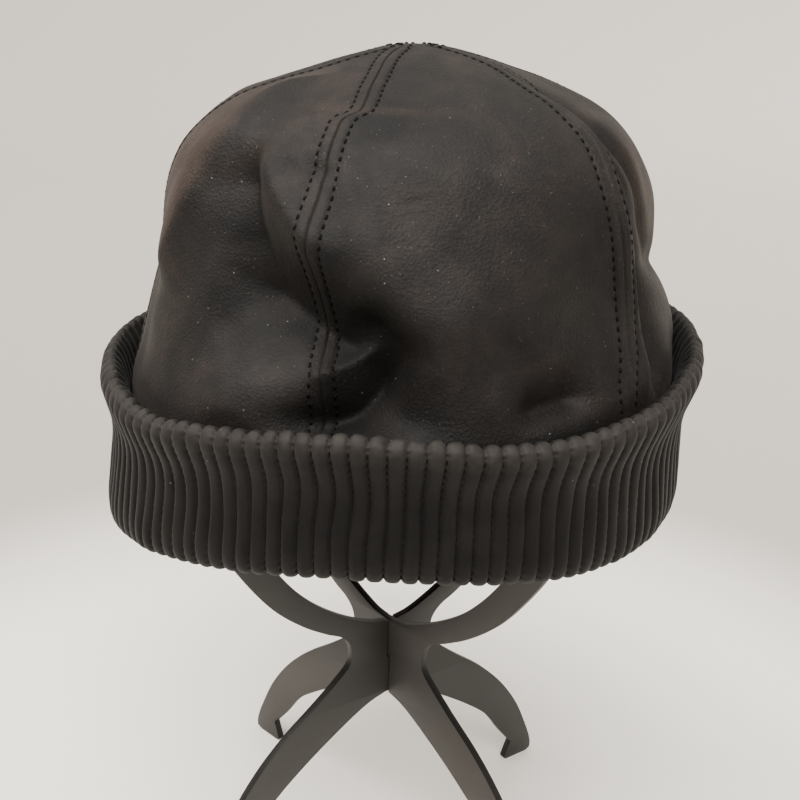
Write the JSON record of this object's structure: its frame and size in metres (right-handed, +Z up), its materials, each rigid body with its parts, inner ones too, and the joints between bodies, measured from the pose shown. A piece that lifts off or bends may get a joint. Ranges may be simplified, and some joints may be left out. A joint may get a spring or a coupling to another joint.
{
  "type": "leather docker cap on a folding display stand",
  "caption": "Close-fitting leather cap of sewn gores with a stiff ribbed turned-up cuff, resting on a folding stand of two crossed plates.",
  "frame": {"origin": "on the floor under the middle of the cap and of the stand", "axes": "+Z up, -Y towards the front of the cap as the picture shows it, +X to its right"},
  "size_m": [0.2099, 0.2098, 0.3085],
  "materials": {
    "crown_leather": "matte",
    "cuff_leather": "matte",
    "stand_plastic": "matte"
  },
  "bodies": {
    "root": {"crown_panel_front": "crown_leather", "crown_panel_front_right": "crown_leather", "crown_panel_back_right": "crown_leather", "crown_panel_back": "crown_leather", "crown_panel_back_left": "crown_leather", "crown_panel_front_left": "crown_leather", "ribbed_cuff": "cuff_leather", "stand_plate_a": "stand_plastic", "stand_plate_b": "stand_plastic"}
  },
  "joints": []
}
